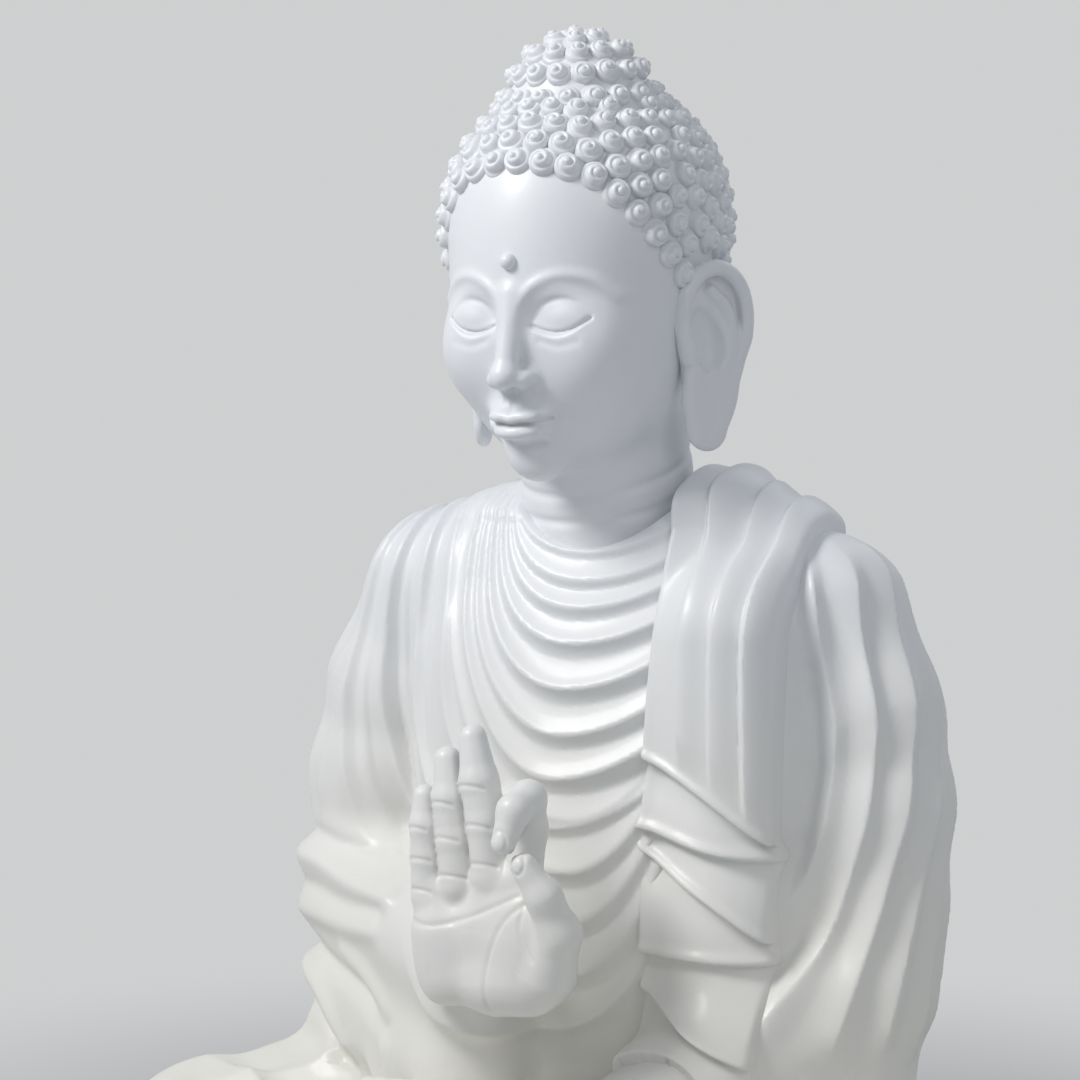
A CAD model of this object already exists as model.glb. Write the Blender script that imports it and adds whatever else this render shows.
import math
import bpy
import numpy as np
import openvdb
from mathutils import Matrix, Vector


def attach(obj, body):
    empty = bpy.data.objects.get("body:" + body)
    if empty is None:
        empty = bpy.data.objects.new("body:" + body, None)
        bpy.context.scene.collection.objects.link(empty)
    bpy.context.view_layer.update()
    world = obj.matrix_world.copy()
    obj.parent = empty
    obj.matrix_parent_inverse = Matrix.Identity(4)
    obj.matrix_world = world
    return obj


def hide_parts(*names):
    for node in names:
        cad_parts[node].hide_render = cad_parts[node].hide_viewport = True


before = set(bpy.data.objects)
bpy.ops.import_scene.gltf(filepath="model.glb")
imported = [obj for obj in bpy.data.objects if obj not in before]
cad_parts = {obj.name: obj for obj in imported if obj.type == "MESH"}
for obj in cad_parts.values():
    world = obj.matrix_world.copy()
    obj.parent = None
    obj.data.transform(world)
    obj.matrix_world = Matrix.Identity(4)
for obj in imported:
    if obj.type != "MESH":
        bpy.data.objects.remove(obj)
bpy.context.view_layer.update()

# The figure is modelled in millimetres about its spine, which stands a little behind the middle
# of its footprint, and every piece is turned into metres as its mesh is made.
spineShift = (0.0, 50.0, 0.0)
metresPerMm = 0.001
rootBody = "root"


def report(stage):
    print("stage:", stage, flush=True)


def stepOf(piece):
    return piece["step"]


# Shapes are distance fields: how far each point lies from the surface, negative inside.
def pts(*rows):
    return np.array(rows, dtype=np.float32)


def ball(p, centre, radii):
    q = p - pts(*centre)
    r = pts(*radii)
    outer = np.sqrt(((q / r) ** 2).sum(1))
    inner = np.sqrt(((q / (r * r)) ** 2).sum(1)) + 1e-9
    return outer * (outer - 1) / inner


def limb(p, start, end, rStart, rEnd):
    a = pts(*start)
    ab = pts(*end) - a
    q = p - a
    t = np.clip(q @ ab / (ab @ ab), 0, 1)
    return np.sqrt(((q - t[:, None] * ab) ** 2).sum(1)) - (rStart + (rEnd - rStart) * t)


def join(a, b, soft):
    h = np.clip(0.5 + 0.5 * (b - a) / soft, 0, 1)
    return b + (a - b) * h - soft * h * (1 - h)


def carve(a, b, soft):
    return -join(-a, b, soft)


def overlap(a, b, soft):
    return -join(-a, -b, soft)


def chain(p, joints, radii, soft=6):
    d = limb(p, joints[0], joints[1], radii[0], radii[1])
    for i in range(1, len(joints) - 1):
        d = join(d, limb(p, joints[i], joints[i + 1], radii[i], radii[i + 1]), soft)
    return d


def ease(t, low, high):
    t = np.clip((t - low) / (high - low), 0, 1)
    return t * t * (3 - 2 * t)


def bump(t, width):
    return np.exp(-(t / width) ** 2)


def wander(x, z, scale, seed):  # slow drift, so that no fold repeats its neighbour
    waves = np.sin(x / scale + seed) + np.sin(1.3 * z / scale + 2.1 * seed)
    return (waves + np.sin(0.7 * (x + z) / scale - seed)) / 3


def lineGap(x, z, points):
    gap = None
    for (ax, az), (bx, bz) in zip(points[:-1], points[1:]):
        dx, dz = bx - ax, bz - az
        t = np.clip(((x - ax) * dx + (z - az) * dz) / (dx * dx + dz * dz), 0, 1)
        d = np.hypot(x - ax - t * dx, z - az - t * dz)
        gap = d if gap is None else np.minimum(gap, d)
    return gap


def softLine(points, times=2):
    points = [tuple(q) for q in points]
    for _ in range(times):  # corner cutting
        cut = [points[0]]
        for a, b in zip(points[:-1], points[1:]):
            cut.append(tuple(0.75 * u + 0.25 * v for u, v in zip(a, b)))
            cut.append(tuple(0.25 * u + 0.75 * v for u, v in zip(a, b)))
        points = cut + [points[-1]]
    return points


gridLook = {  # far is the value given to blocks away from the surface
    "side": 8, "far": 50.0, "reach": 9.0, "blocksAtOnce": 700, "passes": 2,
}


def skin(field, low, high, step):  # the mesh where a field is zero, worked out only near the surface
    side, far, batch = gridLook["side"], gridLook["far"], gridLook["blocksAtOnce"]
    low = np.array(low, dtype=np.float32)
    count = np.ceil((np.array(high) - low) / (step * side)).astype(int)
    block = np.stack(np.meshgrid(*[np.arange(n) for n in count], indexing="ij"), -1).reshape(-1, 3)
    middle = (low + (block + 0.5) * side * step - 0.5 * step).astype(np.float32)
    away = field(middle)
    near = np.abs(away) < 0.95 * side * step + gridLook["reach"]
    grid = np.sign(away).reshape(count) * far
    for axis in range(3):
        grid = np.repeat(grid, side, axis)
    grid = grid.astype(np.float32)
    view = grid.reshape(count[0], side, count[1], side, count[2], side).transpose(0, 2, 4, 1, 3, 5)
    cell = np.stack(np.meshgrid(*[np.arange(side)] * 3, indexing="ij"), -1).reshape(-1, 3)
    chosen = block[near]
    for i in range(0, len(chosen), batch):
        part = chosen[i:i + batch]
        where = (low + ((part * side)[:, None, :] + cell[None]) * step).astype(np.float32).reshape(-1, 3)
        view[part[:, 0], part[:, 1], part[:, 2]] = field(where).reshape(-1, side, side, side)
    volume = openvdb.FloatGrid(far)
    volume.copyFromArray(grid)
    points, quads = volume.convertToQuads(isovalue=0.0)
    points = (low + points * step).astype(np.float32)
    for _ in range(gridLook["passes"]):  # settles the points on the surface itself
        d, slope = steepness(field, points)
        points -= slope * np.clip(d, -step, step)[:, None]
    return points, quads.astype(np.int64)


def steepness(field, points, reach=0.35):
    d = field(points)
    ways = [pts(*(reach * (i == k) for i in range(3))) for k in range(3)]
    slope = np.stack([field(points + way) - d for way in ways], 1) / reach
    length = np.sqrt((slope ** 2).sum(1)) + 1e-6
    return d / length, slope / length[:, None]


def normalsOf(points, quads):
    a, b, c, d = (points[quads[:, i]] for i in range(4))
    face = np.cross(c - a, d - b)
    total = np.zeros_like(points)
    for k in range(3):
        for i in range(4):
            total[:, k] += np.bincount(quads[:, i], face[:, k], len(points))
    return total / (np.linalg.norm(total, axis=1, keepdims=True) + 1e-9)


def linkPiece(name, mesh, material, replaces):
    mesh.materials.append(material)
    piece = bpy.data.objects.new(name, mesh)
    bpy.context.scene.collection.objects.link(piece)
    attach(piece, rootBody)
    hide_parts(*replaces)


def shadeHollows(mesh, values):
    layer = mesh.attributes.new("hollow", "FLOAT", "POINT")
    layer.data.foreach_set("value", values.astype(np.float32))


def addPiece(name, points, quads, material, replaces, normals, hollow):
    mesh = bpy.data.meshes.new(name)
    metres = (points + pts(*spineShift)) * metresPerMm
    mesh.vertices.add(len(points))
    mesh.vertices.foreach_set("co", metres.astype(np.float32).ravel())
    mesh.loops.add(quads.size)
    mesh.loops.foreach_set("vertex_index", quads.astype(np.int32).ravel())
    mesh.polygons.add(len(quads))
    mesh.polygons.foreach_set("loop_start", np.arange(0, quads.size, quads.shape[1], dtype=np.int32))
    mesh.update(calc_edges=True)
    mesh.validate()
    mesh.polygons.foreach_set("use_smooth", np.ones(len(mesh.polygons), dtype=bool))
    shadeHollows(mesh, hollow)
    mesh.normals_split_custom_set_from_vertices(normals.tolist())
    linkPiece(name, mesh, material, replaces)


def splitPieces(points, quads, choose, rows, material, field):  # pieces cut from one skin meet exactly
    normals = normalsOf(points, quads)
    if flips(field, points, normals):
        quads = quads[:, ::-1]
        normals = -normals
    hollow = hollowness(field, points, normals)
    label = choose(points[quads].mean(1))
    for index, (name, replaces) in enumerate(rows):
        mine = quads[label == index]
        used, small = np.unique(mine, return_inverse=True)
        addPiece(name, points[used], small.reshape(mine.shape), material, replaces,
                 normals[used], hollow[used])


def addWhole(name, cadNode, field, box, step, material):  # one field makes one piece
    points, quads = skin(field, *box, step)
    splitPieces(points, quads, lambda c: np.zeros(len(c), int), [(name, [cadNode])], material, field)


def flips(field, points, normals, every=97):  # a sample tells whether the faces point inward
    slope = steepness(field, points[::every])[1]
    return (slope * normals[::every]).sum() < 0


def hollowness(field, points, normals, reach=9.0):
    return np.clip(1 - field(points + (normals * reach).astype(np.float32)) / reach, 0, 1)


enamelLook = {
    "cool": (0.79, 0.81, 0.85, 1), "warm": (0.80, 0.79, 0.74, 1), "recess": (0.56, 0.56, 0.55, 1),
    "warmBelow": 0.16, "coolAbove": 0.92, "drift": 0.30,  # metres of height in which the tone turns
    "driftScale": 5.5, "patchScale": 38.0,
    "dustFrom": 0.16, "dustTo": 0.60, "dustMost": 0.55,  # where dust starts in the hollows, and its share
    "ior": 1.5, "coat": 0.12, "coatRoughness": 0.14,
    "roughness": 0.42, "smoother": 0.07, "rougher": 0.12,
    "brushStretch": (1.0, 1.0, 0.16), "pitFrom": 0.02, "pitTo": 0.055, "pitScale": 34.0,
    "peel": (0.10, 0.0006), "brush": (0.16, 0.0010), "pits": (0.25, 0.0008),  # strength, height in metres
}


def node(tree, kind, place, **values):
    made = tree.nodes.new(kind)
    made.location = place
    for key, value in values.items():
        if key in made.inputs:
            made.inputs[key].default_value = value
        else:
            setattr(made, key, value)
    return made


def startFinish(name):
    material = bpy.data.materials.new(name)
    material.use_nodes = True
    tree = material.node_tree
    where = node(tree, "ShaderNodeTexCoord", (-1500, 0)).outputs["Object"]
    return material, tree, tree.nodes["Principled BSDF"], where


def noise(tree, where, place, scale, detail, roughness=0.5):
    made = node(tree, "ShaderNodeTexNoise", place, Scale=scale, Detail=detail, Roughness=roughness)
    tree.links.new(where, made.inputs["Vector"])
    return made.outputs["Fac"]


def stretched(tree, where, place, scale):
    made = node(tree, "ShaderNodeMapping", place, Scale=scale)
    tree.links.new(where, made.inputs["Vector"])
    return made.outputs["Vector"]


def remap(tree, source, place, span=(0.0, 1.0), result=(0.0, 1.0), curve="LINEAR"):
    made = node(tree, "ShaderNodeMapRange", place, interpolation_type=curve)
    made.inputs["From Min"].default_value, made.inputs["From Max"].default_value = span
    made.inputs["To Min"].default_value, made.inputs["To Max"].default_value = result
    tree.links.new(source, made.inputs["Value"])
    return made.outputs["Result"]


def blend(tree, factor, place, first, second):  # first is a colour or a socket that gives one
    made = node(tree, "ShaderNodeMix", place, data_type="RGBA")
    tree.links.new(factor, made.inputs["Factor"])
    if isinstance(first, tuple):
        made.inputs["A"].default_value = first
    else:
        tree.links.new(first, made.inputs["A"])
    made.inputs["B"].default_value = second
    return made.outputs["Result"]


def relief(tree, source, place, strength, height, below=None):
    made = node(tree, "ShaderNodeBump", place, Strength=strength, Distance=height)
    tree.links.new(source, made.inputs["Height"])
    if below:
        tree.links.new(below, made.inputs["Normal"])
    return made.outputs["Normal"]


def enamel(name, look):
    material, tree, shader, where = startFinish(name)
    link = tree.links.new
    shader.inputs["Coat Weight"].default_value = look["coat"]
    shader.inputs["Coat Roughness"].default_value = look["coatRoughness"]
    shader.inputs["IOR"].default_value = look["ior"]
    split = node(tree, "ShaderNodeSeparateXYZ", (-1300, 200))
    link(where, split.inputs[0])
    drift = noise(tree, where, (-1300, -60), look["driftScale"], 4.0, 0.55)
    height = node(tree, "ShaderNodeMath", (-1100, 120), operation="MULTIPLY_ADD")
    height.inputs[1].default_value = look["drift"]
    link(drift, height.inputs[0])
    link(split.outputs["Z"], height.inputs[2])
    middle = look["drift"] / 2
    heights = (look["warmBelow"] + middle, look["coolAbove"] + middle)
    tone = remap(tree, height.outputs[0], (-900, 120), heights, curve="SMOOTHSTEP")
    paint = blend(tree, tone, (-700, 160), look["warm"], look["cool"])
    hollow = node(tree, "ShaderNodeAttribute", (-1300, -340), attribute_name="hollow")
    patch = noise(tree, where, (-1300, -560), look["patchScale"], 5.0, 0.6)
    dust = node(tree, "ShaderNodeMath", (-1060, -400), operation="MULTIPLY")
    link(hollow.outputs["Fac"], dust.inputs[0])
    link(patch, dust.inputs[1])
    reach = (look["dustFrom"], look["dustTo"])
    dusty = remap(tree, dust.outputs[0], (-860, -400), reach, (0.0, look["dustMost"]))
    link(blend(tree, dusty, (-460, 100), paint, look["recess"]), shader.inputs["Base Color"])
    gloss = (look["roughness"] - look["smoother"], look["roughness"] + look["rougher"])
    link(remap(tree, patch, (-460, -160), result=gloss), shader.inputs["Roughness"])
    peel = noise(tree, where, (-1060, -760), 420.0, 2.0)
    strokes = stretched(tree, where, (-1260, -980), look["brushStretch"])
    brush = noise(tree, strokes, (-1060, -980), 150.0, 4.0, 0.65)
    pits = node(tree, "ShaderNodeTexVoronoi", (-1060, -1220), Scale=look["pitScale"])
    link(where, pits.inputs["Vector"])
    pit = remap(tree, pits.outputs["Distance"], (-860, -1220), (look["pitFrom"], look["pitTo"]))
    normal = relief(tree, peel, (-600, -760), *look["peel"])
    normal = relief(tree, brush, (-600, -980), *look["brush"], normal)
    normal = relief(tree, pit, (-600, -1220), *look["pits"], normal)
    link(normal, shader.inputs["Normal"])
    return material


robe = {
    "step": 2.6, "draftStep": 6.0, "box": ((-520, -372, 0), (520, 272, 812)),
    "soft": 34.0, "chestFold": 11.0, "shoulderPleat": 10.5, "sleeveFold": 8.0,
    "lapFold": 9.0, "backFold": 5.0, "bellyFold": 9.5,
    "torsoTop": 762, "foldTop": 772, "bellyTop": 600, "lapTop": 214, "under": 12,
    "legEdge": 92, "legSqueeze": 0.2,  # below the edge the legs stand steeply on the board
}
limbs = {  # start, end and the radius at each, for the figure under the cloth
    "shoulder": ((66, 6, 714), (204, 8, 674), 77, 62),
    "underSash": ((172, -70, 300), (176, -50, 640), 62, 56),
    "forearmRight": ((-272, -22, 362), (-40, -204, 330), 71, 47),
    "forearmLeft": ((274, -22, 330), (112, -192, 206), 66, 42),
    "clothRight": ((-262, -34, 262), (-60, -178, 236), 66, 58),
    "clothLeft": ((268, -30, 250), (130, -166, 190), 60, 40),
}
chains = {  # joints and the radius at each, the same on both sides
    "arm": ([(214, 8, 670), (254, 4, 568), (270, 0, 480), (272, -6, 398)], [62, 65, 68, 70]),
    "thigh": ([(110, 30, 108), (300, -66, 100), (404, -134, 98)], [112, 98, 84]),
    "shin": ([(402, -150, 86), (240, -226, 88), (30, -258, 86)], [76, 73, 72]),
}
torsoRows = [  # height, half width, half depth, middle from front to back
    (12, 232, 172, 22), (150, 226, 166, 18), (269, 216, 152, 10), (405, 206, 142, 0), (500, 208, 140, 0),
    (571, 214, 140, 4), (640, 214, 133, 8), (700, 176, 118, 9), (745, 130, 102, 5),
]


def torsoField(p):
    z = p[:, 2]
    rows = np.array(softLine(torsoRows, 3), dtype=np.float32)
    a, b, cy = (np.interp(z, rows[:, 0], rows[:, k]).astype(np.float32) for k in (1, 2, 3))
    x, y = p[:, 0] / a, (p[:, 1] - cy) / b
    outer = np.sqrt(x * x + y * y)
    inner = np.sqrt((x / a) ** 2 + (y / b) ** 2) + 1e-9
    side = outer * (outer - 1) / inner
    return overlap(side, z - robe["torsoTop"], 24)


def bodyField(p):
    soft = robe["soft"]
    height, edge = p[:, 2], robe["legEdge"]
    p = p.copy()
    p[:, 2] = np.where(height < edge, edge - (edge - height) * robe["legSqueeze"], height)
    q = p.copy()
    q[:, 0] = np.abs(q[:, 0])
    d = torsoField(p)
    q[:, 0] -= 12 * ease(p[:, 0], 20, 150) * ease(p[:, 2], 420, 640)  # the left shoulder carries more cloth
    d = join(d, limb(q, *limbs["shoulder"]), soft)
    d = join(d, chain(q, *chains["arm"], 20), 26)
    for name in ("underSash", "forearmRight", "forearmLeft"):
        d = join(d, limb(p, *limbs[name]), 30)
    for name in ("clothRight", "clothLeft"):
        d = join(d, limb(p, *limbs[name]), 46)
    legs = join(chain(q, *chains["thigh"], 30), chain(q, *chains["shin"], 30), 40)
    d = join(d, legs, 44)
    d = join(d, ball(p, (0, 96, 104), (238, 142, 112)), 50)  # seat
    d = join(d, ball(p, (0, -124, 92), (300, 152, 104)), 50)  # lap
    return overlap(d, robe["under"] - height, 4)


def crest(gap, above, below, rounding=3.0):  # a thin crest between two scoops
    return np.exp(-(np.sqrt(gap * gap + rounding ** 2) - rounding) / np.where(gap < 0, above, below))


def swag(p, top, middle, drop, halves, tall, tight=(15, 9)):  # one hanging fold
    x, z = p[:, 0] - middle, top - p[:, 2]
    half = np.where(x < 0, halves[0], halves[1])
    g = np.sqrt((x / half) ** 2 + (z / drop) ** 2) + 1e-6
    slope = np.sqrt((x / half ** 2) ** 2 + (z / drop ** 2) ** 2) / g + 1e-6
    low = ease(z / drop, 0.25, 0.95)
    gap = (g - 1) / slope / (0.5 + 0.5 * low)
    return tall * crest(gap, *tight) * ease(z, -24, 30) * (0.72 + 0.28 * low)


def saw(t, top=0.68):  # a fold's slow rise and quick fall
    f = t - np.floor(t)
    rise = np.where(f < top, f / top, (1 - f) / (1 - top))
    return 0.5 * rise ** 2.4 + 0.5 * ease(rise, 0, 1)


swags = [  # drop, half widths to right and left, middle, share of the height
    (74, 92, 104, 28, 0.80), (100, 98, 118, 28, 0.95), (134, 107, 134, 28, 1.05), (178, 116, 150, 26, 1.15),
    (222, 127, 166, 23, 1.10), (262, 136, 184, 18, 1.20), (306, 150, 204, 12, 0.85),
]
bellySwags = [
    (128, 150, 90, 36, 1.0), (174, 165, 97, 33, 1.15), (222, 180, 106, 29, 1.1),
    (272, 196, 118, 25, 1.15), (322, 212, 132, 20, 1.0),
]


def chestFolds(p):
    x, y, z = p.T
    q = p.copy()
    q[:, 0] += 5 * wander(x, z, 46, 1.1)
    q[:, 2] += 5 * wander(x, z, 58, 2.3)
    total = swag(p, robe["foldTop"], 26, 50, (86, 86), 6, (6, 6))  # rolled edge of the collar
    for drop, right, left, middle, share in swags:
        tall = share * robe["chestFold"]
        total = np.maximum(total, swag(q, robe["foldTop"], middle, drop, (right, left), tall))
    belly = 0
    for drop, right, left, middle, share in bellySwags:
        tall = share * robe["bellyFold"]
        belly = np.maximum(belly, swag(q, robe["bellyTop"], middle, drop, (right, left), tall, (20, 10)))
    front = ease(-y, -10, 40)
    belly = belly * (1 - ease(z, 480, 560)) * ease(z, 205, 235) * ease(x, -130, -50)
    return np.maximum(total * ease(z, 415, 470), belly) * front


pleatLines = [  # from the right shoulder down to the elbow: heights, places across, share of the height
    ([470, 517, 570, 665, 758, 780], [-66, -96, -122, -134, -146, -140], 1.0),
    ([440, 477, 553, 648, 748, 780], [-112, -142, -174, -178, -174, -166], 1.15),
    ([420, 447, 551, 645, 738, 780], [-182, -199, -228, -222, -206, -190], 1.1),
    ([420, 440, 530, 624, 715, 760], [-244, -256, -276, -264, -240, -214], 0.9),
    ([430, 500, 600, 700, 780], [-118, -150, -156, -160, -154], 0.45),
    ([430, 500, 600, 700, 760], [-164, -196, -204, -196, -184], 0.5),
    ([430, 500, 600, 700, 750], [-224, -248, -246, -226, -206], 0.5),
]


def shoulderPleats(p):
    x, y, z = p.T
    total = np.zeros(len(p), dtype=np.float32)
    drift = 4 * wander(x, z, 60, 4.2)
    for heights, places, tall in pleatLines:
        line = softLine(zip(heights, places), 3)
        gap = x + drift - np.interp(z, [a for a, b in line], [b for a, b in line])
        total = np.maximum(total, tall * crest(gap, 15, 9))
    return robe["shoulderPleat"] * total * ease(z, 404, 500) * ease(-y, -60, 0) * (1 - ease(z, 752, 782))


def armTurn(p):  # degrees round the arm: 0 faces forward, 90 faces outward
    x, y, z = np.abs(p[:, 0]), p[:, 1], p[:, 2]
    mid = np.interp(z, [240, 398, 480, 568, 662, 740], [262, 272, 270, 254, 214, 180])
    return np.degrees(np.arctan2(x - mid, -(y - 4)))


def sleeveFolds(p):
    x, z = p[:, 0], p[:, 2]
    turn = armTurn(p)
    left = saw((turn - 0.20 * (z - 470)) / 27 + 0.35 * wander(x, z, 70, 0.6), 0.6)
    left = robe["sleeveFold"] * left * ease(z, 250, 300) * (1 - ease(z, 690, 745)) * ease(x, 205, 240)
    right = saw((turn + 0.05 * (z - 470)) / 25 + 0.4 * wander(x, z, 64, 3.3), 0.6)
    amount = 0.55 * ease(z, 420, 470) * (1 - ease(z, 690, 745))
    right = robe["sleeveFold"] * right * amount * ease(-x, 262, 292)
    return left + right


elbowCreases = [  # on the right arm: points across the front, depth, width
    ([(-372, 410), (-320, 424), (-250, 408), (-170, 404)], -6, 10),
    ([(-372, 390), (-320, 402), (-240, 388), (-160, 386)], 7, 12),
    ([(-368, 362), (-310, 372), (-240, 364), (-170, 368)], -5, 10),
    ([(-366, 336), (-310, 344), (-240, 342), (-176, 352)], 6, 12),
    ([(-360, 314), (-310, 308), (-262, 294), (-200, 288), (-150, 262)], -8, 11),
    ([(-352, 290), (-304, 280), (-262, 252), (-236, 222)], 8, 12),
    ([(-346, 264), (-300, 252), (-262, 226), (-246, 206)], -8, 11),
    ([(-232, 316), (-184, 300), (-150, 262), (-138, 220)], 6, 13),
]


def elbowFolds(p):
    x, y, z = p.T
    total = np.zeros(len(p), dtype=np.float32)
    near = (x < -120) & (z > 200) & (z < 470) & (y < 60)
    if near.any():
        for line, depth, width in elbowCreases:
            total[near] += depth * bump(lineGap(x[near], z[near], softLine(line)), width)
    return total


def lapFolds(p):
    x, y, z = p.T
    across = np.abs(x)
    midY = np.interp(across, [0, 30, 240, 402, 470], [-262, -262, -226, -150, -110])
    turn = np.degrees(np.arctan2(z - 84, -(y - midY)))
    fold = saw((turn + 0.10 * across + 16 * wander(x, y, 90, 1.9)) / 31, 0.6)
    amount = ease(z, 24, 60) * (1 - ease(z, 205, 250)) * ease(-y, 0, 90) * (1 - ease(across, 330, 440))
    thigh = saw((y * 0.8 + 0.42 * across + 14 * wander(x, y, 80, 5.0)) / 44, 0.6)
    top = ease(z, 120, 170) * (1 - ease(z, 215, 260))
    top = top * ease(across, 150, 230) * (1 - ease(across, 400, 460))
    return robe["lapFold"] * (fold * amount + 0.7 * thigh * top * (1 - ease(-y, 120, 200)))


def backFolds(p):
    x, y, z = p.T
    slant = saw((x * 0.9 + 0.30 * (z - 400) + 20 * wander(x, z, 110, 2.7)) / 58, 0.55)
    amount = ease(y, 30, 90) * ease(z, 60, 200) * (1 - ease(z, 690, 750))
    return robe["backFold"] * slant * amount


def robeField(p):
    d = bodyField(p)
    lift = np.maximum(chestFolds(p), shoulderPleats(p))
    for folds in (sleeveFolds, elbowFolds, lapFolds, backFolds):
        lift = lift + folds(p)
    d = d - lift
    x, y, z = p.T
    side = np.abs(x - 20 * ease(-y, 0, 60))
    top, front, wide = robe["foldTop"], 724, 92  # the collar dips in front and leaves the shoulders alone
    collar = np.where(y < 0, front + (top - front) * (side / 84) ** 2.2, top)
    collar = collar + (top - collar) * ease(y, -50, 10) * (side < wide)
    collar = np.where(side > wide, collar + (side - wide) * 6, collar)
    d = overlap(d, (z - collar) * 0.8, 5)
    return overlap(d, robe["under"] - z, 4)


def robePiece(c):  # front, back, right sleeve, left sleeve, lap
    x, y, z = c.T
    body = np.interp(z, [220, 405, 571, 640, 745], [205, 205, 196, 176, 128])
    label = np.where(y > 20, 1, 0)
    label = np.where(x < -body, 2, label)
    label = np.where(x > body, 3, label)
    return np.where(z < robe["lapTop"], 4, label)


def makeRobe(material):
    points, quads = skin(robeField, *robe["box"], stepOf(robe))
    rows = [("robeFront", ["torso_front"]), ("robeBack", ["torso_back"]),
            ("sleeveRight", ["sleeve_right"]), ("sleeveLeft", ["sleeve_left"]), ("robeLap", ["lap_shell"])]
    splitPieces(points, quads, robePiece, rows, material, robeField)
    report("robe")


sash = {
    "step": 1.9, "draftStep": 5.0, "box": ((84, -190, 196), (252, 60, 820)),
    "thick": 12.0, "pleat": 8.0, "tier": 9.0, "foot": 204.0, "crown": 5, "depth": 5,
    "hem": 2.2, "draftHem": 5,
    # each pleat: place across, its own width, share of the height, and where it dies out below
    "pleats": [(0.28, 0.030, 1.0, 420), (0.56, 0.026, 0.8, 500), (0.80, 0.030, 1.15, 430)],
}
hemTurns = [  # share of the width, height: the hem runs in folds from edge to edge
    [(-0.1, 538), (0.30, 520), (0.62, 498), (0.90, 470), (1.1, 448)],
    [(1.1, 444), (0.96, 445), (0.60, 452), (0.28, 463), (0.08, 468), (-0.1, 470)],
    [(-0.1, 456), (0.06, 444), (0.35, 424), (0.70, 400), (0.94, 376), (1.1, 362)],
    [(1.1, 352), (0.92, 352), (0.60, 354), (0.25, 354), (-0.1, 352)],
    [(-0.1, 324), (0.35, 304), (0.70, 282), (1.1, 258)],
]


def sashShare(p):  # 0 at the inner edge, 1 at the outer
    x, z = p[:, 0], p[:, 2]
    turned = 5 * bump(z - 460, 16)
    inner = np.interp(z, [196, 300, 460, 620, 740, 790], [104, 100, 99, 102, 104, 98]) - turned
    outer = np.interp(z, [196, 460, 620, 740, 790], [230, 226, 226, 226, 220])
    outer = outer + 5 * bump(z - 449, 12) + 4 * bump(z - 356, 12)
    return (x - inner) / (outer - inner), inner, outer


def sashLift(p, share):
    x, z = p[:, 0], p[:, 2]
    lift = np.full(len(p), sash["thick"], dtype=np.float32)
    drift = 0.03 * wander(x, z, 120, 0.4)
    fade = ease(z, 470, 640)
    for middle, width, tall, low in sash["pleats"]:
        at = middle + drift + 0.05 * (1 - fade)
        rise = ease(share, at - width, at + width)
        fall = ease(share, at + width, at + 0.28)
        lift += sash["pleat"] * tall * (rise - fall) * ease(z, low - 60, low + 60)
    flat = sash["thick"] + sash["crown"] * np.sqrt(np.clip(1 - ((share - 0.5) / 0.52) ** 2, 0, 1))
    lift += flat - sash["thick"]
    soft = sash["hem"]
    for index, line in enumerate(hemTurns):
        line = sorted(softLine(line, 1))
        gap = z - np.interp(share, [a for a, b in line], [b for a, b in line])
        if index == 0:
            lift = flat + (lift - flat) * ease(gap, 4, 46)
        under = (1 - ease(gap, -soft, soft)) * bump(np.minimum(gap, 0), 34)
        lift += sash["tier"] * (0.34 * bump(gap - 5, 5) - under)
    return lift


def sashField(p):
    x, y, z = p.T
    share, inner, outer = sashShare(p)
    base = robeBase(p)
    d = overlap(base - sashLift(p, share), -(base + sash["depth"]), 2)
    d = overlap(d, np.maximum(inner - x, x - outer), 6)
    d = overlap(d, sash["foot"] - z, 3)
    return overlap(d, y - 46, 4)


def robeBase(p):  # what the sash lies on
    return join(bodyField(p), limb(p, (168, -76, 300), (168, -62, 640), 62, 58), 24)


def makeSash(material):
    addWhole("sashFolds", "sash", sashField, sash["box"], stepOf(sash), material)
    report("sash")


head = {
    "step": 1.65, "draftStep": 4.2, "box": ((-136, -232, 684), (136, 132, 1222)),
    "bow": 7.0, "pivot": (0.0, -40.0, 860.0), "middle": (0.0, -46.5, 1012.0), "foot": 690, "seam": -38,
}


def upright(p):  # from the bowed head to a level one, measured from the middle of the skull
    turn = math.radians(head["bow"])
    c, s = math.cos(turn), math.sin(turn)
    q = p - pts(*head["pivot"])
    y, z = q[:, 1] * c + q[:, 2] * s, -q[:, 1] * s + q[:, 2] * c
    q = np.stack([q[:, 0], y, z], 1).astype(np.float32)
    return q + pts(*head["pivot"]) - pts(*head["middle"])


def bowed(p):
    turn = math.radians(head["bow"])
    c, s = math.cos(turn), math.sin(turn)
    q = p + pts(*head["middle"]) - pts(*head["pivot"])
    y, z = q[:, 1] * c - q[:, 2] * s, q[:, 1] * s + q[:, 2] * c
    return np.stack([q[:, 0], y, z], 1).astype(np.float32) + pts(*head["pivot"])


def skullField(q):
    d = ball(q, (0, 12, 22), (127, 142, 130))
    d = join(d, ball(q, (0, 10, 130), (67, 67, 64)), 20)
    face = ball(q, (0, -26, -58), (113, 120, 150))
    d = join(d, face, 26)
    d = join(d, ball(q, (0, -34, -118), (90, 96, 84)), 24)
    return join(d, ball(q, (0, -106, -184), (30, 24, 26)), 26)


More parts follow.
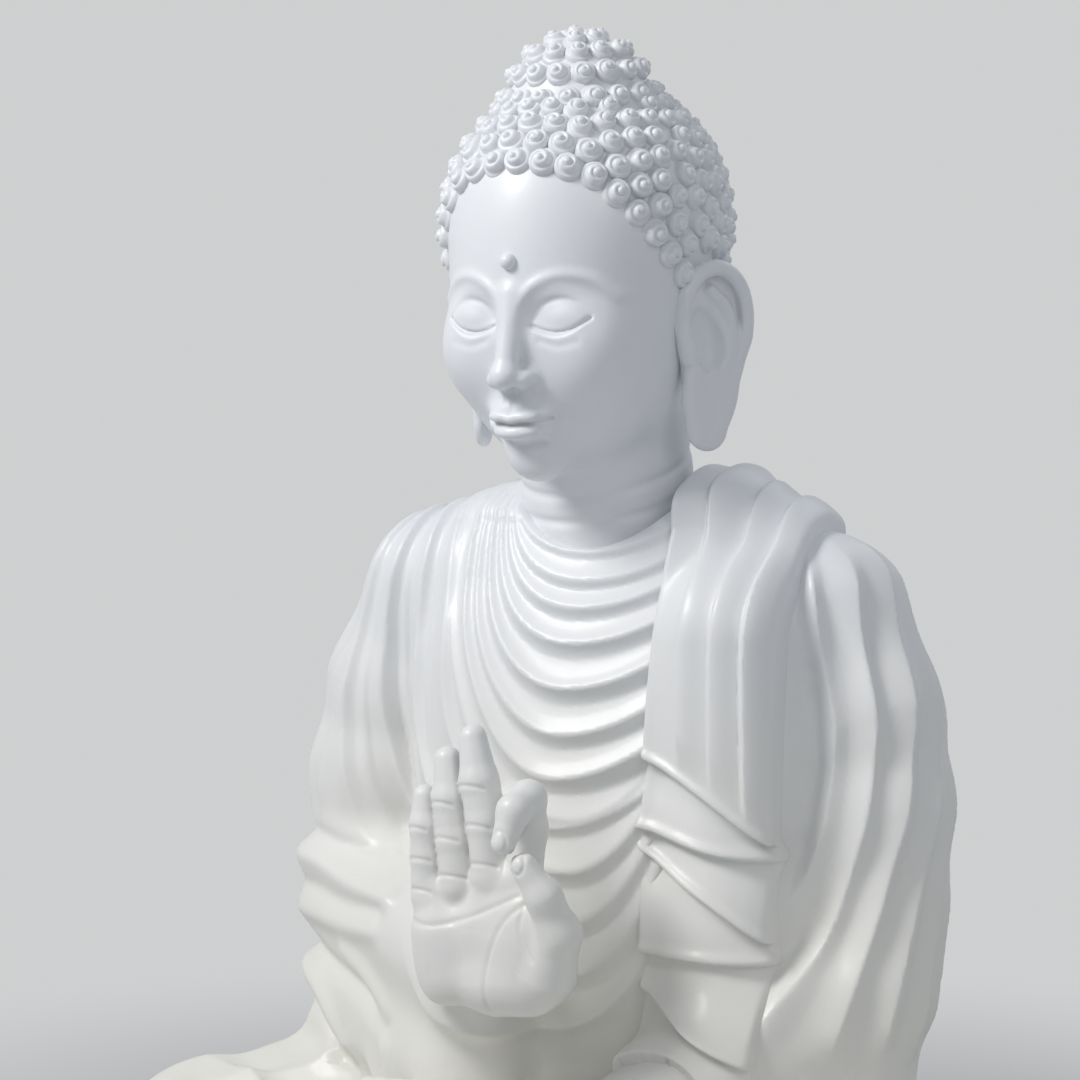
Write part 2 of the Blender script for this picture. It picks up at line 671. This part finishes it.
eyeLines = [  # points across and up, depth, width
    ([(9, -52), (13, -36), (25, -22), (48, -14), (72, -20), (92, -38)], -2.4, 5.5),  # brow
    ([(20, -56), (28, -42), (46, -36), (64, -42), (73, -53)], 1.2, 3.0),  # lid fold
    ([(19, -61), (30, -66), (46, -68), (61, -64), (73, -56)], 2.4, 1.9),  # closed lids
    ([(24, -66), (34, -71), (46, -73), (58, -70), (68, -63)], -0.7, 2.6),
    ([(28, -75), (46, -81), (64, -76)], 0.9, 3.6),
]
mouthLines = [
    ([(0, -150.5), (12, -149), (23, -149.5), (31, -146.5)], 2.4, 2.0),  # between the lips
    ([(30, -147), (34, -144.5)], 1.1, 3.6),  # corners
    ([(0, -125), (0, -136)], 1.6, 4.0),  # above the lips
    ([(0, -171), (16, -168)], 2.6, 6.0),  # above the chin
]


def engrave(d, x, z, lines, front):
    for line, depth, width in lines:
        d = d + depth * bump(lineGap(x, z, softLine(line)), width) * front
    return d


def faceField(q):
    m = q.copy()
    m[:, 0] = np.abs(m[:, 0])
    d = skullField(q)
    x, y, z = m.T
    front = (y < -55).astype(np.float32)
    d = join(d, ball(m, (56, -92, -88), (40, 44, 46)), 26)  # cheeks
    d = carve(d, ball(m, (44, -158, -50), (37, 24, 19)), 16)  # eye hollows
    d = join(d, ball(m, (44, -109, -55), (31, 27, 19)), 8)  # lowered lids
    d = engrave(d, x, z, eyeLines, front)
    nose = limb(q, (0, -138, -34), (0, -158, -102), 9.0, 11.5)
    nose = join(nose, ball(q, (0, -161, -105), (12.5, 12, 11)), 8)
    nose = join(nose, ball(m, (13.5, -149, -109), (9.5, 13, 9)), 6)
    d = join(d, nose, 12)
    d = carve(d, ball(m, (7.5, -158, -118), (4.4, 7.5, 4)), 3)
    d = join(d, ball(q, (0, -132, -148), (34, 20, 22)), 16)  # muzzle
    upper = join(ball(m, (9, -147, -143), (17, 11, 7.2)), ball(q, (0, -150, -145), (7, 8.5, 6)), 5)
    d = join(d, upper, 4)
    d = join(d, ball(q, (0, -145, -158), (22, 13, 9)), 5)
    return engrave(d, x, z, mouthLines, front)


def neckField(p):
    x, y, z = p.T
    d = limb(p, (0, -6, 690), (0, -26, 860), 91, 80)
    for low, tilt, depth in ((800, 0.34, 2.6), (772, 0.30, 2.4)):
        line = low + tilt * (y + 20) + 3 * wander(x, y, 40, 0.7)
        d = d + depth * bump(z - line, 5.0) * ease(-y, -60, 10)
    chest = ball(p, (0, -6, 640), (190, 98, 96))
    return join(d, chest, 22)


def headField(p):
    d = join(faceField(upright(p)), neckField(p), 16)
    return overlap(d, head["foot"] - p[:, 2], 3)


def makeHead(material):
    points, quads = skin(headField, *head["box"], stepOf(head))
    rows = [("faceAndNeck", ["face_shell", "head_collar"]), ("scalp", ["scalp_shell", "topknot"])]
    splitPieces(points, quads, lambda c: np.where(c[:, 1] > head["seam"], 1, 0), rows, material, headField)
    report("head")


def landOn(field, start, way, far):  # where a ray from inside first leaves the field
    low, high = np.zeros(len(way)), np.full(len(way), far)
    for _ in range(22):
        middle = (low + high) / 2
        inside = field((start + way * middle[:, None]).astype(np.float32)) < 0
        low, high = np.where(inside, middle, low), np.where(inside, high, middle)
    return (start + way * low[:, None]).astype(np.float32)


curl = {
    "pitch": 26.5, "topPitch": 23.5, "radius": 15.8, "height": 13.5, "turns": 2.3, "groove": 3.6,
    "lean": 0.10, "rings": 16, "spokes": 24, "nearness": 0.90, "variety": 0.04,
    "clear": 4.6, "ear": (-27, 44, 1), "turnStep": 0.75, "riseStep": 0.8,
    "hairline": [  # degrees round from the front, degrees down from the crown
        (0, 57), (20, 58.5), (38, 65), (52, 78), (64, 92),
        (74, 105), (82, 110), (96, 104), (112, 112), (180, 128),
    ],
}
knot = {
    "centre": (0, 10, 132), "rows": 5, "rowTurn": 21.0, "radius": 67, "pitch": 23.0, "size": 0.88,
    "reach": 76, "foot": 96,
}


def curlPlaces(field):  # packed from the hairline up, each as near the last as its size allows
    turnsAt, downAt = zip(*curl["hairline"])
    grid = np.arange(-180, 180, curl["turnStep"]), np.arange(16, 130, curl["riseStep"])
    turn, down = np.meshgrid(*grid, indexing="ij")
    turn, down = turn.ravel(), down.ravel()
    rise = np.interp(np.abs(turn), turnsAt, downAt) - down
    keep = rise > curl["clear"]
    turn, down, rise = turn[keep], down[keep], rise[keep]
    t, d = np.radians(turn), np.radians(down)
    ways = np.stack([np.sin(t) * np.sin(d), -np.cos(t) * np.sin(d), np.cos(d)], 1).astype(np.float32)
    centre = bowed(pts((0, 0, 0)))
    places = landOn(field, centre, bowed(ways) - centre, 260.0)
    level = upright(places)
    front, back, top = curl["ear"]
    byEar = (level[:, 1] > front) & (level[:, 1] < back) & (level[:, 2] < top)
    onKnot = (np.hypot(level[:, 0], level[:, 1] - 10) < knot["reach"]) & (level[:, 2] > knot["foot"])
    free = ~byEar & ~onKnot
    pitch = curl["pitch"] + (curl["topPitch"] - curl["pitch"]) * ease(rise, 5, 60)
    order = np.round(rise / curl["riseStep"]) * 1000 + np.abs(turn)  # row by row, from the front
    chosen = []
    while free.any():
        best = np.flatnonzero(free)[np.argmin(order[free])]
        chosen.append(best)
        free &= ((places - places[best]) ** 2).sum(1) > (curl["nearness"] * pitch[best]) ** 2
    return ways[chosen], pitch[chosen] / curl["pitch"]


def topknotPlaces():
    ways = []
    for ring in range(knot["rows"]):
        down = math.radians(ring * knot["rowTurn"])
        count = max(1, round(2 * math.pi * math.sin(down) * knot["radius"] / knot["pitch"]))
        for i in range(count):
            t = 2 * math.pi * (i + 0.5 * (ring % 2)) / count
            ways.append([math.sin(down) * math.sin(t), -math.sin(down) * math.cos(t), math.cos(down)])
    return np.array(ways)


def curlShape():  # one snail curl, point upward, as points on rings and spokes
    rings, spokes = curl["rings"], curl["spokes"]
    out = np.linspace(0, 1, rings + 1)[1:]
    turn = np.arange(spokes) / spokes * 2 * math.pi
    r, t = np.meshgrid(out, turn, indexing="ij")
    phase = (r * curl["turns"] - t / (2 * math.pi)) % 1.0
    cut = bump(np.minimum(phase, 1 - phase), 0.19) * ease(r, 0.04, 0.22)
    dome = (1 - r ** 2.4) * 0.74 + (1 - r) ** 1.4 * 0.26
    z = curl["height"] * dome - curl["groove"] * cut * (1 - 0.35 * r)
    wide = curl["radius"] * r ** 0.86 * (1 - 0.05 * cut)
    x, y = wide * np.cos(t) + curl["lean"] * z, wide * np.sin(t)
    z = z - 3.2 * r ** 3
    points = np.concatenate([[[curl["lean"] * curl["height"], 0, curl["height"]]],
                             np.stack([x, y, z], -1).reshape(-1, 3)])
    faces = []
    for i in range(spokes):
        j = (i + 1) % spokes
        faces.append((0, 1 + i, 1 + j, 1 + j))
        for k in range(rings - 1):
            a, b = 1 + k * spokes, 1 + (k + 1) * spokes
            faces.append((a + i, b + i, b + j, a + j))
    return points, np.array(faces)


def addCurls(name, places, normals, sizes, replaces, material):
    shape, faces = curlShape()
    random = np.random.default_rng(11)
    least, most = 1 - curl["variety"], 1 + curl["variety"]
    points, quads = [], []
    for place, normal, size in zip(places, normals, sizes):
        turn = random.uniform(0, 2 * math.pi)
        side = np.cross(normal, [0.3, 0.2, 0.9])
        side /= np.linalg.norm(side)
        other = np.cross(normal, side)
        spin = np.array([[math.cos(turn), -math.sin(turn)], [math.sin(turn), math.cos(turn)]])
        flat = shape[:, :2] @ spin.T * size * random.uniform(least, most)
        made = place + flat[:, :1] * side + flat[:, 1:] * other + shape[:, 2:] * size * normal
        quads.append(faces + len(points) * len(shape))
        points.append(made)
    metres = (np.concatenate(points) + np.array(spineShift)) * metresPerMm
    faces = [f[:3] if f[2] == f[3] else f for f in np.concatenate(quads).tolist()]
    mesh = bpy.data.meshes.new(name)
    mesh.from_pydata(metres.tolist(), [], faces)
    mesh.polygons.foreach_set("use_smooth", np.ones(len(mesh.polygons), dtype=bool))
    depth = np.clip(1 - shape[:, 2] / (0.55 * curl["height"]), 0, 1)
    shadeHollows(mesh, np.tile(depth, len(points)))
    linkPiece(name, mesh, material, replaces)


def makeCurls(material):
    def scalpField(p):
        return skullField(upright(p))
    centre = bowed(pts((0, 0, 0)))
    ways, sizes = curlPlaces(scalpField)
    places = landOn(lambda p: faceField(upright(p)), centre, bowed(ways) - centre, 260.0)
    normals = steepness(scalpField, places)[1]
    addCurls("scalpCurls", places, normals, sizes, ["scalp_curls"], material)
    start = bowed(pts(knot["centre"]))
    ways = bowed(topknotPlaces().astype(np.float32)) - centre
    places = landOn(scalpField, start, ways, 120.0)
    normals = steepness(scalpField, places)[1]
    sizes = np.full(len(places), knot["size"])
    addCurls("topknotCurls", places, normals, sizes, ["topknot_curls"], material)
    report("curls")


ear = {
    "step": 1.4, "draftStep": 3.4, "low": (104, -90, 796), "high": (184, 66, 1016),
    "root": (121.0, 4.0, -112.0), "rootUp": 84, "flare": 24.0,  # rootUp is the root's height above the lobe
}
helixLine = [
    (-24, 92), (-32, 116), (-26, 146), (-6, 168), (22, 174), (44, 158), (49, 128), (41, 98), (27, 70),
]
innerLine = [(10, 150), (27, 134), (29, 108), (17, 84), (-2, 72)]


def earField(p):  # u runs back along the ear, v up it, w out from the head
    q = upright(p)
    x = np.abs(q[:, 0]) - ear["root"][0]
    turn = math.radians(ear["flare"])
    c, s = math.cos(turn), math.sin(turn)
    y = q[:, 1] - ear["root"][1]
    u, w = (y * c + x * s), (x * c - y * s)
    v = q[:, 2] - ear["root"][2] + ear["rootUp"]
    u = u + 0.10 * (v - 90)
    flat = np.stack([u, v, w], 1).astype(np.float32)
    upper = ball(flat, (9, 122, 1), (43, 52, 8))
    lobe = chain(flat, [(7, 84, 3), (-4, 52, 4), (-12, 24, 4)], [31, 29, 24], 12)
    lobe = overlap(lobe, np.abs(w - 4) - 7.5, 9)
    plate = join(upper, lobe, 16)
    rim = lineGap(u, v, softLine(helixLine))
    taper = ease(-v, -104, -64)
    plate = join(plate, np.sqrt(rim ** 2 + (w - 11 + 5 * taper) ** 2) - 7.6 + 4 * taper, 6)
    fold = lineGap(u, v, softLine(innerLine))
    plate = join(plate, np.sqrt(fold ** 2 + (w - 9) ** 2) - 6.4, 5)
    plate = carve(plate, ball(flat, (-3, 108, 14), (19, 30, 19)), 5)
    plate = join(plate, ball(flat, (-26, 98, 9), (8, 13, 8)), 6)  # tragus
    plate = carve(plate, ball(flat, (-6, 46, 17), (15, 34, 8)), 10)  # long hollow of the lobe
    stem = ball(flat, (-6, 108, -21), (22, 48, 19))
    return join(plate, stem, 10)


def makeEars(material):
    low, high = ear["low"], ear["high"]
    mirrored = (-high[0], *low[1:]), (-low[0], *high[1:])
    for name, cadNode, box in (("earLeft", "ear_left", (low, high)), ("earRight", "ear_right", mirrored)):
        addWhole(name, cadNode, earField, box, stepOf(ear), material)
    report("ears")


dot = {"step": 1.0, "draftStep": 2.0, "radius": 7.8, "out": 0.5, "up": -2}


def makeDot(material):
    def levelFace(p):
        return faceField(upright(p))
    centre = bowed(pts((0, 0, dot["up"])))
    way = bowed(pts((0, -1, 0))) - bowed(pts((0, 0, 0)))
    place = landOn(levelFace, centre, way, 220.0)
    normal = steepness(levelFace, place)[1]
    def dotField(p):
        return ball(p, tuple(place[0] + normal[0] * dot["out"]), (dot["radius"],) * 3)
    box = tuple(place[0] - 12), tuple(place[0] + 14)
    addWhole("foreheadDot", "forehead_dot", dotField, box, stepOf(dot), material)


hand = {
    "step": 1.5, "draftStep": 4.0, "box": ((-110, -330, 262), (150, -150, 580)),
    "heel": (7.0, -260.0, 313.0), "scale": 0.975, "crease": 1.3, "groove": 1.1, "nail": 1.1,
}
fingers = [  # joints as across, up, out of the palm; radii
    ([(-57, 104, 4), (-58, 140, 5), (-60, 170, 6), (-62, 197, 4)], [17.6, 16.0, 15.0, 11.2]),
    ([(-24, 118, 2), (-28, 160, 4), (-33, 198, 5), (-38, 233, 2)], [20.2, 18.4, 17.2, 12.6]),
    ([(12, 132, 2), (6, 178, 4), (-2, 216, 5), (-10, 255, 2)], [20.8, 19.4, 18.2, 13.0]),
]
jointCreases = [  # across, up and half width of each crease on the palm side
    (-58, 112, 15), (-59, 141, 14), (-62, 170, 13), (-25, 128, 18), (-30, 163, 16), (-35, 196, 15),
    (10, 142, 18), (4, 178, 17), (-3, 214, 17),
]
palmLines = [
    [(-66, 82), (-36, 80), (0, 92), (34, 108), (50, 116)], [(60, 112), (34, 90), (18, 48), (18, 8)],
    [(58, 108), (54, 84), (70, 60)],
]


def handLocal(p):
    q = (p - pts(*hand["heel"])) / hand["scale"]
    return np.stack([q[:, 0], q[:, 2], -q[:, 1]], 1).astype(np.float32)


def palmField(q):
    d = chain(q, [(-30, 34, -6), (-44, 74, -3), (-48, 108, -1)], [30, 27, 21], 18)
    d = join(d, chain(q, [(10, 30, -6), (2, 80, -6), (6, 122, -3)], [34, 27, 21], 18), 22)
    d = join(d, chain(q, [(44, 36, -6), (48, 84, -4), (34, 124, -1)], [32, 26, 20], 18), 26)
    d = join(d, ball(q, (56, 66, 5), (42, 60, 24)), 18)  # ball of the thumb
    return join(d, ball(q, (-42, 44, 8), (26, 40, 18)), 16)


def rightHandField(p):
    q = handLocal(p)
    x, y, z = q.T
    d = palmField(q)
    index = chain(q, [(40, 126, -2), (46, 174, -4), (50, 204, 4), (50, 196, 30), (46, 168, 42)],
                  [18.5, 17.0, 16.0, 15.0, 11.5], 7)
    thumb = chain(q, [(70, 44, 4), (88, 84, 14), (80, 120, 28), (64, 148, 37)], [28, 20, 16.0, 12.0], 9)
    grown = index
    for joints, radii in fingers:
        grown = np.minimum(grown, chain(q, joints, radii, 5))
    d = join(join(d, grown, 6), thumb, 6)
    out = ease(z, 2, 12)
    for across, up, half in jointCreases:
        curve = up - 3.5 * ((x - across) / half) ** 2
        d = d + hand["crease"] * bump(y - curve, 2.2) * ease(half - np.abs(x - across), 0, 3) * out
    for line in palmLines:
        d = d + hand["groove"] * bump(lineGap(x, y, softLine(line)), 2.8) * ease(z, 6, 16)
    for cx, cy, tx, ty in ((46, 169, 7.5, 11), (63, 150, 7, 9)):  # nails
        edge = np.abs(np.sqrt(((x - cx) / tx) ** 2 + ((y - cy) / ty) ** 2) - 1) * 8
        d = d + hand["nail"] * bump(edge, 1.5) * (z > 34)
    wrist = limb(p, (10, -238, 346), (-60, -186, 338), 32, 36)
    return join(d * hand["scale"], wrist, 16)


restingHand = {
    "step": 2.0, "draftStep": 4.0, "box": ((-190, -300, 200), (200, -120, 300)),
    "heel": (96, -214, 212), "turn": 14, "half": 20,  # half of its greatest thickness
    "fingers": [(-56, 196, 14), (-26, 234, 16), (6, 250, 17), (38, 230, 16)],  # across, length, radius
}


def leftHandField(p):
    q = p - pts(*restingHand["heel"])
    u, v, w = -q[:, 0] + 8, -q[:, 1] + 8, q[:, 2]
    turn = math.radians(restingHand["turn"])
    across = v * math.cos(turn) - u * math.sin(turn) - 6
    along = u * math.cos(turn) + v * math.sin(turn)
    h = np.stack([across, along, w], 1).astype(np.float32)
    d = overlap(palmField(h), np.abs(w) - restingHand["half"], 14)
    for x0, tip, r in restingHand["fingers"]:
        joints = [(x0 * 0.9, 112, -2), (x0, 170, 2), (x0 * 0.86, tip, 8)]
        d = join(d, chain(h, joints, [r + 2, r, r - 4], 5), 5)
    thumb = chain(h, [(66, 40, 4), (84, 92, 12), (64, 136, 20)], [24, 17, 12], 8)
    d = join(d, thumb, 8)
    wrist = limb(p, (108, -208, 212), (150, -176, 214), 28, 31)
    return join(d, wrist, 14)


foot = {  # the right foot lies sole up on the left thigh
    "step": 2.0, "draftStep": 4.0, "box": ((90, -290, 160), (350, -110, 236)),
    "middle": (214, -196, 184), "turn": 24, "half": 19,
    # across, length, radius
    "toes": [(-26, 96, 12.5), (-9, 100, 9.5), (6, 97, 9), (19, 92, 8.5), (31, 85, 8)],
}


def footField(p):
    q = p - pts(*foot["middle"])
    turn = math.radians(foot["turn"])
    along = q[:, 0] * math.cos(turn) + q[:, 1] * math.sin(turn)
    across = -q[:, 0] * math.sin(turn) + q[:, 1] * math.cos(turn)
    h = np.stack([across, along, q[:, 2]], 1).astype(np.float32)
    d = chain(h, [(0, -62, 0), (4, 0, 2), (2, 58, 0)], [28, 25, 34], 22)
    d = overlap(d, np.abs(h[:, 2]) - foot["half"], 14)
    for x0, tip, r in foot["toes"]:
        d = join(d, chain(h, [(x0, 70, 2), (x0, tip, 5)], [r, r * 0.95], 4), 4)
    return d


def makeHands(material):
    for name, cadNode, field, piece in (("handRight", "hand_right", rightHandField, hand),
                                        ("handLeft", "hand_left", leftHandField, restingHand),
                                        ("footRight", "foot_right", footField, foot)):
        addWhole(name, cadNode, field, piece["box"], stepOf(piece), material)
    report("hands and foot")


apron = {  # cloth in front of the shins
    "step": 2.3, "draftStep": 5.0, "box": ((-200, -372, 8), (200, -100, 240)),
    "thick": 8.0, "pleat": 7.0, "pleats": 5, "hem": 26, "top": 214,
}


def apronField(p):
    x, y, z = p.T
    base = bodyField(p)
    spread = np.interp(z, [20, 60, 190, 230], [184, 168, 96, 76])
    share = x / spread
    scallop = apron["hem"] + 9 * np.cos(share * apron["pleats"] * math.pi) + 26 * share ** 2
    pleat = saw((share + 0.04 * wander(x, z, 60, 2.0)) * apron["pleats"] + 20, 0.55)
    lift = apron["thick"] + apron["pleat"] * pleat * ease(-z, -215, -120)
    d = overlap(base - lift, -(base + 4), 2)
    d = overlap(d, np.abs(x) - spread, 5)
    d = overlap(d, scallop - z, 4)
    d = overlap(d, z - apron["top"], 6)
    return overlap(d, y + 120, 6)


def makeApron(material):
    addWhole("robeApron", "robe_apron", apronField, apron["box"], stepOf(apron), material)
    report("apron")


# Finishes of the parts inside the shell.
insideLooks = {  # stretch is how many times finer the marks are along x, y and z
    "frameSteel": {
        "base": (0.10, 0.11, 0.12, 1), "mark": (0.16, 0.15, 0.14, 1), "rough": (0.38, 0.62), "metal": 0.0,
        "grain": 30.0, "stretch": (1, 1, 1), "bump": 0.20,
        "parts": ["frame_rail_front", "frame_rail_back", "mast_saddle", "mast", "shoulder_bar",
                  "anchor_nut_plates", "forearm_rod"]},
    "fastenerSteel": {
        "base": (0.55, 0.56, 0.58, 1), "mark": (0.44, 0.44, 0.45, 1), "rough": (0.26, 0.44), "metal": 1.0,
        "grain": 90.0, "stretch": (1, 1, 6), "bump": 0.15,
        "parts": ["base_screws", "rail_bolts", "mast_bolts", "shoulder_bolt"]},
    "closingBoard": {
        "base": (0.42, 0.30, 0.19, 1), "mark": (0.30, 0.20, 0.12, 1), "rough": (0.55, 0.80), "metal": 0.0,
        "grain": 5.0, "stretch": (1, 12, 12), "bump": 0.35, "parts": ["closing_board"]},
    "bondingResin": {
        "base": (0.62, 0.58, 0.47, 1), "mark": (0.52, 0.47, 0.36, 1), "rough": (0.45, 0.75), "metal": 0.0,
        "grain": 40.0, "stretch": (1, 1, 1), "bump": 0.40,
        "parts": ["shoulder_pads", "neck_collar", "head_collar"]},
}
markSpan, markHeight = (0.42, 0.68), 0.0006  # where marks start and are full; relief in metres


def insideFinish(name, look):
    material, tree, shader, where = startFinish(name)
    link = tree.links.new
    shader.inputs["Metallic"].default_value = look["metal"]
    along = stretched(tree, where, (-900, 0), look["stretch"])
    grain = noise(tree, along, (-700, 0), look["grain"], 5.0, 0.6)
    share = remap(tree, grain, (-500, 100), markSpan)
    link(blend(tree, share, (-300, 100), look["base"], look["mark"]), shader.inputs["Base Color"])
    link(remap(tree, grain, (-300, -120), result=look["rough"]), shader.inputs["Roughness"])
    link(relief(tree, grain, (-300, -340), look["bump"], markHeight), shader.inputs["Normal"])
    return material


def finishInside():
    for name, look in insideLooks.items():
        material = insideFinish(name, look)
        for part in look["parts"]:
            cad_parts[part].data.materials.clear()
            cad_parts[part].data.materials.append(material)
    report("inside parts")


stageLook = {
    "pale": (0.62, 0.625, 0.63, 1), "sky": 0.36, "skyTint": (0.86, 0.92, 1.0, 1),
    "floorHalf": 30, "floorRoughness": 0.9, "floorSpecular": 0.1,
    "fadeFrom": 0.6, "fadeTo": 1.5,  # metres from the figure between which the floor turns into backdrop
    "lamps": [  # name, place, aim, size, power, tint
        ("key", (-1.3, -1.9, 2.7), (0, 0, 0.7), 1.1, 60.0, (1.0, 0.985, 0.96)),
        ("fill", (2.5, -1.7, 2.4), (0, 0, 0.7), 1.6, 12.0, (1.0, 0.96, 0.90)),
        ("rim", (0.9, 2.5, 2.6), (0, 0, 0.8), 1.8, 9.0, (0.90, 0.95, 1.0)),
    ],
}
cameraLook = {"lens": 95.6, "place": (1.3332, -2.4056, 0.9203), "round": 30, "rise": 4, "farthest": 50}


def addLamp(name, place, aim, size, power, tint):
    data = bpy.data.lights.new(name, "AREA")
    data.shape = "DISK"
    data.size = size
    data.energy = power
    data.color = tint
    lamp = bpy.data.objects.new(name, data)
    lamp.location = place
    lamp.rotation_euler = (Vector(aim) - Vector(place)).to_track_quat("-Z", "Y").to_euler()
    bpy.context.scene.collection.objects.link(lamp)


def seenDirectly(tree):  # 1 for rays that show the surroundings, 0 for the light they give
    path = node(tree, "ShaderNodeLightPath", (-600, 200))
    either = node(tree, "ShaderNodeMath", (-400, 200), operation="MAXIMUM")
    tree.links.new(path.outputs["Is Camera Ray"], either.inputs[0])
    tree.links.new(path.outputs["Is Glossy Ray"], either.inputs[1])
    both = node(tree, "ShaderNodeMath", (-200, 200), operation="MAXIMUM")
    tree.links.new(either.outputs[0], both.inputs[0])
    tree.links.new(path.outputs["Is Transmission Ray"], both.inputs[1])
    return both.outputs[0]


def floorPaint():  # the floor turns into the backdrop's own colour away from the figure
    material, tree, shader, where = startFinish("studioFloor")
    link = tree.links.new
    shader.inputs["Base Color"].default_value = stageLook["pale"]
    shader.inputs["Roughness"].default_value = stageLook["floorRoughness"]
    shader.inputs["Specular IOR Level"].default_value = stageLook["floorSpecular"]
    away = node(tree, "ShaderNodeVectorMath", (-700, -200), operation="LENGTH")
    link(where, away.inputs[0])
    fade = remap(tree, away.outputs["Value"], (-500, -200), (stageLook["fadeFrom"], stageLook["fadeTo"]),
                 curve="SMOOTHSTEP")
    share = node(tree, "ShaderNodeMath", (-100, 0), operation="MULTIPLY")
    link(seenDirectly(tree), share.inputs[0])
    link(fade, share.inputs[1])
    glow = node(tree, "ShaderNodeEmission", (0, -200), Color=stageLook["pale"])
    mix = node(tree, "ShaderNodeMixShader", (300, 0))
    link(share.outputs[0], mix.inputs[0])
    link(shader.outputs[0], mix.inputs[1])
    link(glow.outputs[0], mix.inputs[2])
    link(mix.outputs[0], tree.nodes["Material Output"].inputs["Surface"])
    return material


def makeSky():
    world = bpy.data.worlds.new("studio")
    bpy.context.scene.world = world
    world.use_nodes = True
    tree = world.node_tree
    soft = tree.nodes["Background"]
    soft.inputs["Color"].default_value = stageLook["skyTint"]
    soft.inputs["Strength"].default_value = stageLook["sky"]
    seen = node(tree, "ShaderNodeBackground", (0, -200), Color=stageLook["pale"], Strength=1.0)
    mix = node(tree, "ShaderNodeMixShader", (200, 0))
    tree.links.new(seenDirectly(tree), mix.inputs[0])
    tree.links.new(soft.outputs[0], mix.inputs[1])
    tree.links.new(seen.outputs[0], mix.inputs[2])
    tree.links.new(mix.outputs[0], tree.nodes["World Output"].inputs["Surface"])


def makeFloor():
    half = stageLook["floorHalf"]
    mesh = bpy.data.meshes.new("floor")
    corners = [(-half, -half, 0), (half, -half, 0), (half, half, 0), (-half, half, 0)]
    mesh.from_pydata(corners, [], [(0, 1, 2, 3)])
    mesh.materials.append(floorPaint())
    floor = bpy.data.objects.new("floor", mesh)
    bpy.context.scene.collection.objects.link(floor)


def makeCamera():
    data = bpy.data.cameras.new("camera")
    data.lens = cameraLook["lens"]
    data.clip_end = cameraLook["farthest"]
    camera = bpy.data.objects.new("camera", data)
    camera.location = cameraLook["place"]
    turn, rise = math.radians(cameraLook["round"]), math.radians(cameraLook["rise"])
    away = Vector((math.sin(turn), -math.cos(turn), math.tan(rise)))
    camera.rotation_euler = (-away).to_track_quat("-Z", "Y").to_euler()
    bpy.context.scene.collection.objects.link(camera)
    bpy.context.scene.camera = camera


def makeStage():
    bpy.context.scene.view_settings.view_transform = "Standard"
    makeSky()
    makeFloor()
    for lamp in stageLook["lamps"]:
        addLamp(*lamp)
    makeCamera()
    report("light and camera")


whiteEnamel = enamel("whiteEnamel", enamelLook)
makeStage()
makeRobe(whiteEnamel)
makeSash(whiteEnamel)
makeHead(whiteEnamel)
makeCurls(whiteEnamel)
makeEars(whiteEnamel)
makeDot(whiteEnamel)
makeHands(whiteEnamel)
makeApron(whiteEnamel)
finishInside()
